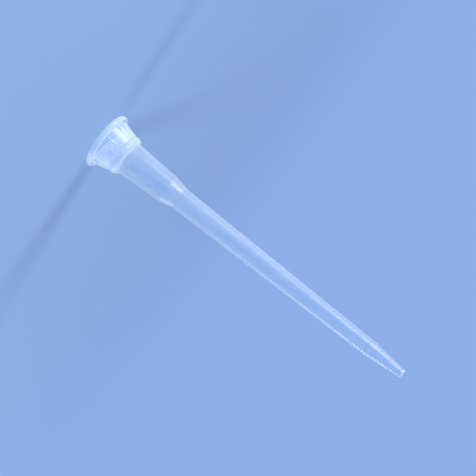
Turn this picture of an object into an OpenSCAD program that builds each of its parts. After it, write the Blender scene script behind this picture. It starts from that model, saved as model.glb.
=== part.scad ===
// Micro-volume pipette tip, one injection moulding in natural polypropylene.
// It stands on its mouth: the bore runs along +Z, from the mouth at z = 0 to the outlet on top.

/* [Overall] */
// Length from the mouth to the outlet
tip_length = 32; // [26:0.5:40]
// Outer diameter of the flange around the mouth
rim_d = 5.13; // [4.9:0.01:6.2]

/* [Flange] */
// Thickness of the flange
rim_t = 0.52; // [0.42:0.01:0.8]
// How far the flange stands out from the hub's wall, as a ledge
flange_w = 0.4; // [0.3:0.01:0.6]
// Radius on the flange's two outer edges
rim_edge_r = 0.18; // [0.05:0.01:0.2]
// Radius in the corner between the flange and the wall
root_r = 0.05; // [0.02:0.01:0.1]

/* [Hub] */
// Height of the conical wall between the flange and the ring
hub_h = 1.5; // [1.2:0.05:2.5]
// How much the wall's outer diameter falls from the flange to the ring
hub_taper = 0.65; // [0.3:0.01:0.8]
// Thickness of the hub's wall beside the ring
hub_wall = 0.42; // [0.3:0.01:0.5]
// How far the ring stands out from the end of the wall
ring_proud = 0.015; // [0:0.005:0.05]
// Height of the slope that leads on to the ring
ring_lead_h = 0.05; // [0.02:0.01:0.1]
// Height of the ring's straight band
ring_h = 0.12; // [0.08:0.01:0.4]
// Radius of the ring's round shoulder, which runs in to the body
ring_round_r = 0.6; // [0.3:0.01:0.75]

/* [Ribs] */
// Number of low ribs around the hub
rib_count = 8; // [3:1:12]
// Width of a rib
rib_w = 0.13; // [0.08:0.01:0.3]
// Height of a rib above the wall at the flange, from where it fades out to the ring
rib_h = 0.075; // [0.03:0.005:0.15]
// Turn of the first rib about the bore, from +X
rib_turn = 38.5; // [0:0.1:45]

/* [Mouth] */
// Width of the flat ring face that the tip stands on, with its outer edge
rim_face_w = 0.415; // [0.3:0.005:0.5]
// How much the opening narrows, in diameter, over the lead-in
lead_taper = 0.58; // [0.3:0.01:0.8]
// Depth of the lead-in
lead_h = 0.85; // [0.6:0.05:1.1]
// Width of the ledge at the lead-in's inner end
lead_ledge_w = 0.2; // [0.1:0.01:0.3]
// Height over which that ledge slopes
lead_ledge_h = 0.2; // [0.1:0.01:0.3]

/* [Seat] */
// Height of the funnel between the hub's socket and the sealing land
funnel_h = 0.31; // [0.2:0.01:0.4]
// Diameter of the cylindrical land that seals on a nozzle
seat_d = 2.16; // [1.8:0.01:2.6]
// Length of the sealing land
seat_h = 1.3; // [0.8:0.1:2]

/* [Body] */
// Wall around the seat and on to the shoulder
body_wall = 0.4; // [0.3:0.01:0.48]
// Height of the body from the ring to the shoulder
body_h = 4.3; // [3.5:0.1:6]
// Outer diameter of the body where the shoulder begins
body_d_shoulder = 2.52; // [2.4:0.01:2.6]
// Height of the conical shoulder between the body and the barrel
shoulder_h = 1.2; // [0.8:0.05:2]

/* [Barrel] */
// Outer diameter of the barrel at the shoulder
barrel_d_shoulder = 1.95; // [1.8:0.01:2.35]
// Outer diameter of the barrel where the point begins
barrel_d_point = 1.4; // [1.2:0.01:1.7]
// Wall of the barrel at the shoulder
barrel_wall = 0.36; // [0.25:0.01:0.44]
// Wall of the barrel where the point begins
barrel_wall_point = 0.3; // [0.2:0.01:0.36]

/* [Point] */
// Length of the point, the steeper taper at the outlet
point_h = 3.36; // [2.5:0.02:5]
// Outer diameter at the outlet
outlet_d = 0.72; // [0.6:0.01:0.9]
// Diameter of the outlet's bore
outlet_bore_d = 0.4; // [0.25:0.01:0.48]
// Radius on the outlet's outer edge
outlet_edge_r = 0.04; // [0.01:0.01:0.06]

/* [Hidden] */
$fn = 96;

// Steps in one rounded corner of the section
corner_steps = 6;
// How far a rib is sunk into the wall and into the flange
rib_sink = 0.1;

// Radii of the outside
rim_r = rim_d / 2;
hub_foot_r = rim_r - flange_w;
hub_top_r = hub_foot_r - hub_taper / 2;
ring_r = hub_top_r + ring_proud;
round_centre_r = ring_r - ring_round_r;
body_r = seat_d / 2 + body_wall;

// Radii of the inside
mouth_r = rim_r - rim_face_w;
lead_r = mouth_r - lead_taper / 2;
ledge_r = lead_r - lead_ledge_w;
socket_r = ring_r - hub_wall;
neck_r = body_d_shoulder / 2 - body_wall;

// Angle along the ring's round shoulder at which it reaches the body, or 90 where a flat step is left
round_end = acos(max(0, (body_r - round_centre_r) / ring_round_r));

// Stations along the bore, from the mouth to the outlet
hub_top_z = rim_t + hub_h;
round_z = hub_top_z + ring_lead_h + ring_h;
body_z = round_z + ring_round_r * sin(round_end);
seat_z = round_z + funnel_h;
shoulder_z = body_z + body_h;
barrel_z = shoulder_z + shoulder_h;
point_z = tip_length - point_h;

// Points of an arc about a centre, from angle a0 to angle a1
function arc(centre, r, a0, a1) = [
    for (i = [0:corner_steps])
        let (a = a0 + (a1 - a0) * i / corner_steps)
        centre + r * [cos(a), sin(a)]
];

// The outside of the section, from the rim face up to the outlet, as [radius, height]
outside = concat(
    arc([rim_r - rim_edge_r, rim_edge_r], rim_edge_r, -90, 0),
    arc([rim_r - rim_edge_r, rim_t - rim_edge_r], rim_edge_r, 0, 90),
    arc([hub_foot_r + root_r, rim_t + root_r], root_r, 270, 180),
    [[hub_top_r, hub_top_z]],
    [[ring_r, hub_top_z + ring_lead_h]],
    arc([round_centre_r, round_z], ring_round_r, 0, round_end),
    [[body_r, body_z]],
    [[body_d_shoulder / 2, shoulder_z]],
    [[barrel_d_shoulder / 2, barrel_z]],
    [[barrel_d_point / 2, point_z]],
    arc([outlet_d / 2 - outlet_edge_r, tip_length - outlet_edge_r], outlet_edge_r, 0, 90)
);

// The inside of the section, from the outlet down to the mouth
inside = [
    [outlet_bore_d / 2, tip_length],
    [barrel_d_point / 2 - barrel_wall_point, point_z],
    [barrel_d_shoulder / 2 - barrel_wall, barrel_z],
    [neck_r, shoulder_z],
    [seat_d / 2, seat_z + seat_h],
    [seat_d / 2, seat_z],
    [socket_r, round_z],
    [ledge_r, lead_h + lead_ledge_h],
    [lead_r, lead_h],
    [mouth_r, 0]
];

// One low rib, drawn in the plane of the bore and as thick as the rib is wide
module rib() {
    rotate([90, 0, 0])
        linear_extrude(height = rib_w, center = true)
            polygon([
                [hub_foot_r - rib_sink, rim_t - rib_sink],
                [hub_foot_r + rib_h, rim_t - rib_sink],
                [hub_foot_r + rib_h, rim_t],
                [hub_top_r, hub_top_z],
                [hub_top_r - rib_sink, hub_top_z]
            ]);
}

// The whole moulding: a turned section with the ribs around its hub
module tip() {
    color([0.86, 0.92, 0.98, 0.8])
        union() {
            rotate_extrude()
                polygon(concat(outside, inside));
            for (i = [0:rib_count - 1])
                rotate([0, 0, rib_turn + i * 360 / rib_count])
                    rib();
        }
}

tip();
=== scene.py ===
"""A micro-volume pipette tip, moulded in natural polypropylene, standing on its mouth."""

import math

import bmesh
import bpy
from mathutils import Matrix, Vector


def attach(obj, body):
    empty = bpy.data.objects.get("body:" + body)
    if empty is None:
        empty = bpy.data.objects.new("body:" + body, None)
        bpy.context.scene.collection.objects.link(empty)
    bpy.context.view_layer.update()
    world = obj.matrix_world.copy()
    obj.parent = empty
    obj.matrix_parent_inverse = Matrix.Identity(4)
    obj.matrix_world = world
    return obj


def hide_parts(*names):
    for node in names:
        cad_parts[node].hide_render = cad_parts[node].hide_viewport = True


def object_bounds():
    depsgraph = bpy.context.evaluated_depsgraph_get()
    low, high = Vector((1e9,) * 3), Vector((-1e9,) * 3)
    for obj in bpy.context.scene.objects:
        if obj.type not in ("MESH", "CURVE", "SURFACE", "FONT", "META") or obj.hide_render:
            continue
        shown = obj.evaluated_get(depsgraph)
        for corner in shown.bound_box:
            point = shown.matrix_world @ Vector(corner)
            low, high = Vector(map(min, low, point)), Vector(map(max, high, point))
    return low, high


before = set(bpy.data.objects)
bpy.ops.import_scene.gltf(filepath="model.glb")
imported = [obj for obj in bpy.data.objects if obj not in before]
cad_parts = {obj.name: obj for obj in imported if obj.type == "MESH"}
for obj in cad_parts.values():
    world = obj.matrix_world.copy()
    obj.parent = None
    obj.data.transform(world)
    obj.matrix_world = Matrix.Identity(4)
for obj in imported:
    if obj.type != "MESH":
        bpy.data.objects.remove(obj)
cad_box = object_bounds()

MM = 0.001
# Slack for rounding errors in a comparison
ROUNDING = 0.001

# ---------------------------------------------------------------- the moulding's sizes, in mm

LENGTH = (cad_box[1].z - cad_box[0].z) / MM

# Walls and steps that the inside is set off by
HUB_WALL = 0.42
BODY_WALL = 0.4
BARREL_WALL = 0.36
POINT_WALL = 0.3
RIM_FACE_W = 0.415
LEAD_W = 0.29
LEDGE_W = 0.2

# Outer radii, from the mouth to the outlet
RIM_R = 2.565
HUB_FOOT_R = RIM_R - 0.4
HUB_TOP_R = HUB_FOOT_R - 0.325
RING_R = HUB_TOP_R + 0.015
SEAT_R = 1.08
BODY_R = SEAT_R + BODY_WALL
SHOULDER_R = 1.26
BARREL_R = 0.975
POINT_R = 0.7
OUTLET_R = 0.36

# Inner radii, from the mouth to the outlet
MOUTH_R = RIM_R - RIM_FACE_W
LEAD_R = MOUTH_R - LEAD_W
LEDGE_R = LEAD_R - LEDGE_W
SOCKET_R = RING_R - HUB_WALL
NECK_R = SHOULDER_R - BODY_WALL
BARREL_BORE_R = BARREL_R - BARREL_WALL
POINT_BORE_R = POINT_R - POINT_WALL
OUTLET_BORE_R = 0.2

# Heights of the outside's corners, from the rim's back up
RIM_T = 0.52
HUB_TOP_Z = RIM_T + 1.5
RING_FOOT_Z = HUB_TOP_Z + 0.05
RING_TOP_Z = RING_FOOT_Z + 0.12
# The ring's round shoulder is cut from a corner at this height
RING_CORNER_Z = RING_TOP_Z + 0.405
BODY_Z = 2.746
SHOULDER_Z = BODY_Z + 4.3
BARREL_Z = SHOULDER_Z + 1.2
POINT_Z = LENGTH - 3.36

# Heights of the inside's corners, from the lead-in's end up
LEAD_Z = 0.85
LEDGE_Z = LEAD_Z + 0.2
SEAT_Z = RING_TOP_Z + 0.31
SEAT_TOP_Z = SEAT_Z + 1.3

RIB_COUNT = 8
RIB_TURN = math.radians(38.5)
RIB_H = 0.075
# A rib lifts what lies this close to the hub's wall: its own rows, and the round at the flange
RIB_REACH_IN = 0.02
RIB_REACH_OUT = 0.052

# Columns of faces round the moulding: a rib's flat top is two of them wide
COLUMNS = 288
# Longest stretch of the section between two rings of faces
RING_SPACING = 1.2
# Width of the narrow ring beside a corner, and the shortest stretch that takes one at each end
SUPPORT = 0.03
LEAST_STRAIGHT = 4 * SUPPORT
# A rounded corner has one segment for this much turn, and at least three
SEGMENT_TURN = math.radians(7)
LEAST_SEGMENTS = 3

# The section's corners, outside from the mouth up and then inside from the outlet down:
# radius, height, and the radius that rounds the corner
SECTION = [
    (RIM_R, 0, 0.18),
    (RIM_R, RIM_T, 0.18),
    (HUB_FOOT_R, RIM_T, 0.05),
    (HUB_TOP_R, HUB_TOP_Z, 0.04),
    (RING_R, RING_FOOT_Z, 0.04),
    (RING_R, RING_CORNER_Z, 0.54),
    (BODY_R, BODY_Z, 0.06),
    (SHOULDER_R, SHOULDER_Z, 0.5),
    (BARREL_R, BARREL_Z, 0.5),
    (POINT_R, POINT_Z, 0.8),
    (OUTLET_R, LENGTH, 0.04),
    (OUTLET_BORE_R, LENGTH, 0.02),
    (POINT_BORE_R, POINT_Z, 0.5),
    (BARREL_BORE_R, BARREL_Z, 0.5),
    (NECK_R, SHOULDER_Z, 0.5),
    (SEAT_R, SEAT_TOP_Z, 0.5),
    (SEAT_R, SEAT_Z, 0.08),
    (SOCKET_R, RING_TOP_Z, 0.15),
    (LEDGE_R, LEDGE_Z, 0.05),
    (LEAD_R, LEAD_Z, 0.03),
    (MOUTH_R, 0, 0.05),
]


# ---------------------------------------------------------------- the moulding

def corner_turn(vert):
    """How far the section turns at a corner, in radians."""
    before, after = [edge.other_vert(vert).co for edge in vert.link_edges]
    return math.pi - (before - vert.co).angle(after - vert.co)


def draw_section(bm):
    """The wall's section as one closed outline in the XZ plane, with rounded corners."""
    corners = [bm.verts.new((r * MM, 0, z * MM)) for r, z, _ in SECTION]
    for here, after in zip(corners, corners[1:] + corners[:1]):
        bm.edges.new((here, after))
    for vert, (_, _, round_r) in zip(corners, SECTION):
        turn = corner_turn(vert)
        bmesh.ops.bevel(
            bm,
            geom=[vert],
            offset=round_r * MM * math.tan(turn / 2),
            offset_type="OFFSET",
            segments=max(LEAST_SEGMENTS, round(turn / SEGMENT_TURN)),
            profile=0.5,
            affect="VERTICES",
            material=-1,
        )
    for edge in list(bm.edges):
        if edge.calc_length() > LEAST_STRAIGHT * MM:
            divide_straight(bm, edge)


def divide_straight(bm, edge):
    """Divides a straight stretch, with a narrow ring at each end that keeps corner shading off it."""
    ends = [vert.co.copy() for vert in edge.verts]
    cuts = 2 + int(edge.calc_length() / (RING_SPACING * MM))
    made = bmesh.ops.subdivide_edges(bm, edges=[edge], cuts=cuts)["geom_inner"]
    added = [part for part in made if isinstance(part, bmesh.types.BMVert)]
    for end in ends:
        nearest = min(added, key=lambda vert: (vert.co - end).length)
        away = nearest.co - end
        nearest.co = end + away.normalized() * SUPPORT * MM


def turn_section(bm):
    """Spins the section round the bore, starting beside a rib so that the columns line up with it."""
    bmesh.ops.rotate(
        bm,
        verts=bm.verts[:],
        cent=(0, 0, 0),
        matrix=Matrix.Rotation(RIB_TURN, 3, "Z"),
    )
    bmesh.ops.spin(
        bm,
        geom=bm.verts[:] + bm.edges[:],
        cent=(0, 0, 0),
        axis=(0, 0, 1),
        dvec=(0, 0, 0),
        angle=math.tau,
        steps=COLUMNS,
        use_merge=True,
    )
    bmesh.ops.remove_doubles(bm, verts=bm.verts[:], dist=1e-8)
    bmesh.ops.recalc_face_normals(bm, faces=bm.faces[:])


def raise_ribs(bm):
    """Lifts narrow stretches of the hub's wall into low ribs that fade out at the ring."""
    # Wide enough for three rows of vertices, one column apart
    half_width = 1.5 * math.tau / COLUMNS
    spacing = math.tau / RIB_COUNT
    for vert in bm.verts:
        along = (vert.co.z / MM - RIM_T) / (HUB_TOP_Z - RIM_T)
        if not -ROUNDING <= along <= 1:
            continue
        wall_r = HUB_FOOT_R + (HUB_TOP_R - HUB_FOOT_R) * along
        radius = math.hypot(vert.co.x, vert.co.y) / MM
        if not wall_r - RIB_REACH_IN < radius < wall_r + RIB_REACH_OUT:
            continue
        angle = math.atan2(vert.co.y, vert.co.x) - RIB_TURN
        if abs((angle + spacing / 2) % spacing - spacing / 2) < half_width:
            outward = Vector((vert.co.x, vert.co.y, 0)).normalized()
            vert.co += outward * RIB_H * (1 - along) * MM


def build_moulding():
    bm = bmesh.new()
    draw_section(bm)
    turn_section(bm)
    raise_ribs(bm)
    for face in bm.faces:
        face.smooth = True
    mesh = bpy.data.meshes.new("moulded_tip")
    bm.to_mesh(mesh)
    bm.free()
    piece = bpy.data.objects.new("moulded_tip", mesh)
    bpy.context.scene.collection.objects.link(piece)
    return piece


# ---------------------------------------------------------------- materials

def linear(hex_colour):
    """A linear colour from an sRGB hex value."""
    channels = [int(hex_colour[i : i + 2], 16) / 255 for i in (1, 3, 5)]
    return tuple(
        c / 12.92 if c <= 0.04045 else ((c + 0.055) / 1.055) ** 2.4 for c in channels
    ) + (1.0,)


def add_node(tree, kind, settings=None, **links):
    """Adds a node with its settings. Links go to its inputs by name, or by place as in_0 and in_1."""
    node = tree.nodes.new(kind)
    for name, value in (settings or {}).items():
        if name in node.inputs:
            node.inputs[name].default_value = value
        else:
            setattr(node, name, value)
    for name, source in links.items():
        socket = int(name[3:]) if name.startswith("in_") else name.replace("_", " ")
        if isinstance(source, (int, float)):
            node.inputs[socket].default_value = source
        else:
            tree.links.new(getattr(source, "outputs", [source])[0], node.inputs[socket])
    return node


# How much of the light gets straight through one skin of the wall, seen square on
HUB_CLEAR = 0.73
BODY_CLEAR = 0.78
POINT_CLEAR = 0.83
# The wall is thinner where the mouth leads in, so a band of the hub is clearer, with soft edges
LEAD_CLEAR = 0.83
LEAD_FADE = 0.05
LEDGE_FADE = 0.1
# The barrel clears evenly from the shoulder to this height
CLEAREST_Z = LENGTH - 1
# The outlet's cut face is matt and nearly white
CUT_CLEAR = 0.3
CUT_FROM = LENGTH - 0.12
CUT_TO = LENGTH - 0.03
# How bright the milk gets towards a skin's edge: the least cosine that its depth is divided by
HUB_GRAZE = 0.08
BODY_GRAZE = 0.09
# The mould is polished at the hub and blasted from the step up, so gloss turns to satin here, in mm
HUB_ROUGH = 0.04
BODY_ROUGH = 0.3
SATIN_FROM = 2.72
SATIN_TO = 2.77
# How much lamp light passes one skin
HUB_PASS = 0.85
BODY_PASS = 0.55
PASS_FROM = 1.9
PASS_TO = 3.2
MILK = "#E9F5FF"
# Flow streaks: width and length in mm, and how far they change the clearness and the roughness
STREAK_W = 0.22
STREAK_L = 9.0
HUB_STREAK = 0.02
BODY_STREAK = 0.09
POINT_STREAK = 0.03
STREAK_ROUGH = 0.02
STREAK_DEPTH = 0.0002
# The streaks get fainter along the middle of the barrel, from and to these heights
FAINTER_FROM = BARREL_Z + 4
FAINTER_TO = POINT_Z - 4
# The pattern is slid across by this many streaks
STREAK_SHIFT = 1.0
# The noise behind the streaks stays mostly between these values
NOISE_LOW = 0.3
NOISE_HIGH = 0.7
# The blasted grain is about 0.03 mm on a real mould, and is drawn coarser to show
GRAIN = 0.11
GRAIN_DEPTH = 0.0001


def natural_polypropylene():
    """Injection moulded natural polypropylene: unfilled, so milky only by its own crystals."""
    material = bpy.data.materials.new("moulded natural polypropylene")
    material.use_nodes = True
    tree = material.node_tree
    tree.nodes.clear()
    place = add_node(tree, "ShaderNodeTexCoord").outputs["Object"]
    height = add_node(tree, "ShaderNodeSeparateXYZ", Vector=place).outputs["Z"]

    def over(low, high, at_low, at_high, smooth=True):
        """A number that goes from at_low to at_high between two heights in mm."""
        return add_node(
            tree,
            "ShaderNodeMapRange",
            {"interpolation_type": "SMOOTHSTEP" if smooth else "LINEAR",
             "From Min": low * MM, "From Max": high * MM, "To Min": at_low, "To Max": at_high},
            Value=height,
        )

    def maths(operation, first, second, third=0.0):
        return add_node(
            tree, "ShaderNodeMath", {"operation": operation}, in_0=first, in_1=second, in_2=third
        )

    # Flow streaks run lengthwise, where the melt slid up the cavity
    along = add_node(
        tree,
        "ShaderNodeMapping",
        {"Location": (STREAK_SHIFT, 0.0, 0.0),
         "Scale": (1 / (STREAK_W * MM), 1 / (STREAK_W * MM), 1 / (STREAK_L * MM))},
        Vector=place,
    )
    streak = add_node(tree, "ShaderNodeTexNoise", {"Scale": 1.0, "Detail": 2.0}, Vector=along)
    fine = 1 / (GRAIN * MM)
    grain = add_node(tree, "ShaderNodeTexNoise", {"Scale": fine, "Detail": 3.0}, Vector=place)

    # Thicker walls are milkier: the hub most, then the body, and the point is the clearest
    wall = over(BARREL_Z, CLEAREST_Z, BODY_CLEAR, POINT_CLEAR, smooth=False)
    for low, high, at_low, at_high in [
        (SATIN_FROM, SATIN_TO, HUB_CLEAR / BODY_CLEAR, 1.0),
        (RIM_T - LEAD_FADE, RIM_T + LEAD_FADE, 1.0, LEAD_CLEAR / HUB_CLEAR),
        (LEDGE_Z - LEDGE_FADE, LEDGE_Z + LEDGE_FADE, 1.0, HUB_CLEAR / LEAD_CLEAR),
        (CUT_FROM, CUT_TO, 1.0, CUT_CLEAR / POINT_CLEAR),
    ]:
        wall = maths("MULTIPLY", wall, over(low, high, at_low, at_high))
    uneven = add_node(
        tree,
        "ShaderNodeMapRange",
        {"From Min": NOISE_LOW, "From Max": NOISE_HIGH, "To Min": -1.0, "To Max": 1.0},
        Value=streak,
    )
    streaky = over(SATIN_FROM, SATIN_TO, HUB_STREAK, BODY_STREAK)
    fainter = over(FAINTER_FROM, FAINTER_TO, 1.0, POINT_STREAK / BODY_STREAK)
    streaky = maths("MULTIPLY", streaky, fainter)
    wall = maths("MULTIPLY", wall, maths("MULTIPLY_ADD", uneven, streaky, 1.0))
    # A skin seen at a slant holds more milk, so every edge, step and rib reads as a paler line
    facing = add_node(tree, "ShaderNodeLayerWeight", {"Blend": 0.5}).outputs["Facing"]
    least = over(SATIN_FROM, SATIN_TO, HUB_GRAZE, BODY_GRAZE)
    cosine = add_node(tree, "ShaderNodeMapRange", {"To Min": 1.0}, Value=facing, To_Max=least)
    clear = maths("POWER", wall, maths("DIVIDE", 1.0, cosine))
    # Above the hub the milk is all in the skins that face the air: from inside the wall they are clear
    inside = add_node(tree, "ShaderNodeNewGeometry").outputs["Backfacing"]
    clear = maths("MAXIMUM", clear, maths("MULTIPLY", inside, over(SATIN_FROM, SATIN_TO, 0.0, 1.0)))

    rough = over(SATIN_FROM, SATIN_TO, HUB_ROUGH, BODY_ROUGH)
    rough = maths("MULTIPLY_ADD", uneven, STREAK_ROUGH / 2, rough)

    grained = add_node(tree, "ShaderNodeBump", {"Distance": GRAIN_DEPTH * MM}, Height=grain)
    streaked = add_node(
        tree, "ShaderNodeBump", {"Distance": STREAK_DEPTH * MM}, Height=streak, Normal=grained
    )
    plastic = add_node(
        tree,
        "ShaderNodeBsdfPrincipled",
        {"Base Color": linear(MILK), "IOR": 1.49},
        Transmission_Weight=clear,
        Roughness=rough,
        Normal=streaked,
    )
    # Lamp light goes on through the wall, dimmed, so that the inside is lit and the shadow is pale
    passing = over(PASS_FROM, PASS_TO, HUB_PASS, BODY_PASS)
    let_through = add_node(tree, "ShaderNodeBsdfTransparent", Color=passing)
    path = add_node(tree, "ShaderNodeLightPath")
    either = add_node(
        tree, "ShaderNodeMixShader", Fac=path.outputs["Is Shadow Ray"], in_1=plastic, in_2=let_through
    )
    add_node(tree, "ShaderNodeOutputMaterial", Surface=either)
    return material


# ---------------------------------------------------------------- stage, light and camera

BACKDROP = "#8FAEE8"
# The card is greyer than the backdrop, which it matches once the room's blue light falls on it
CARD = "#9BB4D3"
FLOOR_R = 1.5
FLOOR_SIDES = 96
# The floor takes light and shadow round the tip, and away from it turns into the even backdrop
FLOOR_LIT = 0.8
FADE_FROM = 0.02
FADE_TO = 0.11
# The room's own light is weaker than the backdrop looks
ROOM_FILL = 0.6

# Where the lamps stand, in metres
LAMP_KEY = (-0.22, -0.09, 0.10)
LAMP_FRONT = (0.10, -0.26, 0.15)
LAMP_RIM = (0.13, 0.05, 0.06)
# A highlight lamp is this many times brighter in the middle of its cloth, and fades out between
# these distances from the middle, as shares of its width
CLOTH_GLOW = 1.7
CLOTH_BRIGHT = 0.25
CLOTH_DARK = 0.5

# The camera's place in mm, how far it looks down and aside from the bore, and its roll
CAMERA_BACK = 143.4
CAMERA_UP = 35.75
LOOK_DOWN = math.radians(8.53)
LOOK_ASIDE = math.radians(0.164)
ROLL = math.radians(38.28)
LENS = 131
SENSOR_W = 36


def pale_card():
    """Matt coloured card that runs on into the backdrop without a visible horizon."""
    material = bpy.data.materials.new("pale matt card")
    material.use_nodes = True
    tree = material.node_tree
    tree.nodes.clear()
    place = add_node(tree, "ShaderNodeTexCoord").outputs["Object"]
    away = add_node(tree, "ShaderNodeVectorMath", {"operation": "LENGTH"}, Vector=place)
    fade = add_node(
        tree,
        "ShaderNodeMapRange",
        {"interpolation_type": "SMOOTHSTEP", "From Min": FADE_FROM, "From Max": FADE_TO,
         "To Min": 1 - FLOOR_LIT, "To Max": 1.0},
        Value=away.outputs["Value"],
    )
    card = add_node(tree, "ShaderNodeBsdfDiffuse", {"Color": linear(CARD)})
    even = add_node(tree, "ShaderNodeEmission", {"Color": linear(BACKDROP), "Strength": 1.0})
    both = add_node(tree, "ShaderNodeMixShader", Fac=fade, in_1=card, in_2=even)
    add_node(tree, "ShaderNodeOutputMaterial", Surface=both)
    return material


def build_floor():
    bm = bmesh.new()
    bmesh.ops.create_circle(bm, cap_ends=True, segments=FLOOR_SIDES, radius=FLOOR_R)
    mesh = bpy.data.meshes.new("floor")
    bm.to_mesh(mesh)
    bm.free()
    floor = bpy.data.objects.new("floor", mesh)
    floor.location.z = cad_box[0].z
    bpy.context.scene.collection.objects.link(floor)
    mesh.materials.append(pale_card())


def light_world():
    """The backdrop all round: as bright as it is seen, but weaker where it lights a matt surface."""
    world = bpy.data.worlds.new("studio")
    bpy.context.scene.world = world
    world.use_nodes = True
    tree = world.node_tree
    tree.nodes.clear()
    matt = add_node(tree, "ShaderNodeLightPath").outputs["Is Diffuse Ray"]
    power = add_node(tree, "ShaderNodeMapRange", {"To Min": 1.0, "To Max": ROOM_FILL}, Value=matt)
    around = add_node(tree, "ShaderNodeBackground", {"Color": linear(BACKDROP)}, Strength=power)
    add_node(tree, "ShaderNodeOutputWorld", Surface=around)


def fade_cloth(tree):
    """A lamp cloth that is brightest in the middle, so that its highlight has no hard edge."""
    tree.nodes.clear()
    on_cloth = add_node(tree, "ShaderNodeTexCoord").outputs["UV"]
    off_centre = add_node(tree, "ShaderNodeVectorMath", {"operation": "DISTANCE"}, Vector=on_cloth)
    off_centre.inputs[1].default_value = (0.5, 0.5, 0.0)
    glow = add_node(
        tree,
        "ShaderNodeMapRange",
        {"interpolation_type": "SMOOTHSTEP", "From Min": CLOTH_BRIGHT, "From Max": CLOTH_DARK,
         "To Min": CLOTH_GLOW, "To Max": 0.0},
        Value=off_centre.outputs["Value"],
    )
    cloth = add_node(tree, "ShaderNodeEmission", Strength=glow)
    add_node(tree, "ShaderNodeOutputLight", Surface=cloth)


def add_softbox(name, place, width, height, watts, highlight=False):
    """An area lamp turned to the tip: an even one for matt surfaces, or a faded one for a highlight."""
    light = bpy.data.lights.new(name, "AREA")
    light.shape = "RECTANGLE"
    light.size = width
    light.size_y = height
    light.energy = watts
    if highlight:
        light.use_nodes = True
        fade_cloth(light.node_tree)
    lamp = bpy.data.objects.new(name, light)
    lamp.location = place
    middle = Vector((0, 0, LENGTH * MM / 2))
    lamp.rotation_euler = (middle - Vector(place)).to_track_quat("-Z", "Y").to_euler()
    lamp.visible_camera = False
    lamp.visible_transmission = False
    lamp.visible_diffuse = not highlight
    lamp.visible_glossy = highlight
    bpy.context.scene.collection.objects.link(lamp)


def light_object():
    """Light from the left, a weaker fill from the front and a rim from behind on the right."""
    add_softbox("key", LAMP_KEY, width=0.1, height=0.1, watts=0.58)
    add_softbox("front", LAMP_FRONT, width=0.06, height=0.06, watts=0.33)
    add_softbox("rim", LAMP_RIM, width=0.04, height=0.05, watts=0.1)
    add_softbox("key_highlight", LAMP_KEY, width=0.27, height=0.27, watts=0.85, highlight=True)
    add_softbox("rim_highlight", LAMP_RIM, width=0.12, height=0.15, watts=0.14, highlight=True)


def place_camera():
    """The camera looks a little down on the standing tip, rolled so that the tip crosses the frame."""
    data = bpy.data.cameras.new("camera")
    data.sensor_width = SENSOR_W
    data.lens = LENS
    data.clip_start = 0.01
    data.clip_end = 10
    camera = bpy.data.objects.new("camera", data)
    bpy.context.scene.collection.objects.link(camera)
    bpy.context.scene.camera = camera
    forward = Vector((
        -math.sin(LOOK_ASIDE),
        math.cos(LOOK_ASIDE) * math.cos(LOOK_DOWN),
        -math.cos(LOOK_ASIDE) * math.sin(LOOK_DOWN),
    ))
    # "along" is the bore's direction in the picture and "across" is square to it
    along = Vector((0, math.sin(LOOK_DOWN), math.cos(LOOK_DOWN)))
    across = along.cross(forward)
    right = along * math.cos(ROLL) + across * math.sin(ROLL)
    up = -along * math.sin(ROLL) + across * math.cos(ROLL)
    turn = Matrix((right, up, -forward)).transposed()
    place = Vector((0, -CAMERA_BACK, CAMERA_UP)) * MM
    camera.matrix_world = Matrix.Translation(place) @ turn.to_4x4()


# ---------------------------------------------------------------- the scene

tip = build_moulding()
tip.data.materials.append(natural_polypropylene())
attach(tip, "root")
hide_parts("tip")

build_floor()
light_world()
light_object()
place_camera()
bpy.context.scene.view_settings.view_transform = "Standard"
